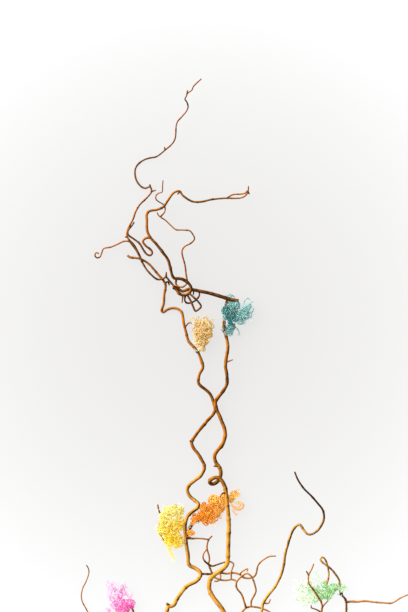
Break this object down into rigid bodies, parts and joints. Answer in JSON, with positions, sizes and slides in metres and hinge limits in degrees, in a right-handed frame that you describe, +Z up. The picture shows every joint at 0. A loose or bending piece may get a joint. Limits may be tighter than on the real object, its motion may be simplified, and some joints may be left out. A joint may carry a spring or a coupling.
{
  "type": "curly willow branch",
  "caption": "Cut curly willow branch lying flat: two winding stems, thin curling twigs and a second twig hooked across the top, with tufts of curly dyed wool wired on.",
  "frame": {"origin": "centre of the branch's bounding box, at the level of the surface it lies on", "axes": "+Y along the branch from its cut base to its top, +Z up from the surface it lies on, +X to the right seen from above"},
  "size_m": [0.5246, 1.0499, 0.0887],
  "materials": {
    "bark": "matt golden-brown bark",
    "dark_bark": "matt dark brown bark",
    "tie_wire": "thin silvery wire",
    "wool_cream": "curly wool",
    "wool_teal": "curly wool",
    "wool_yellow": "curly wool",
    "wool_orange": "curly wool",
    "wool_pink": "curly wool",
    "wool_mint": "curly wool"
  },
  "bodies": {
    "root": {"willow_branch": "bark", "crown_twig": "dark_bark", "tie_cream": "tie_wire", "tie_teal": "tie_wire", "tie_yellow": "tie_wire", "tie_orange": "tie_wire", "tie_pink": "tie_wire", "tie_mint": "tie_wire", "wool_cream": "wool_cream", "wool_teal": "wool_teal", "wool_yellow": "wool_yellow", "wool_orange": "wool_orange", "wool_pink": "wool_pink", "wool_mint": "wool_mint"}
  },
  "joints": []
}
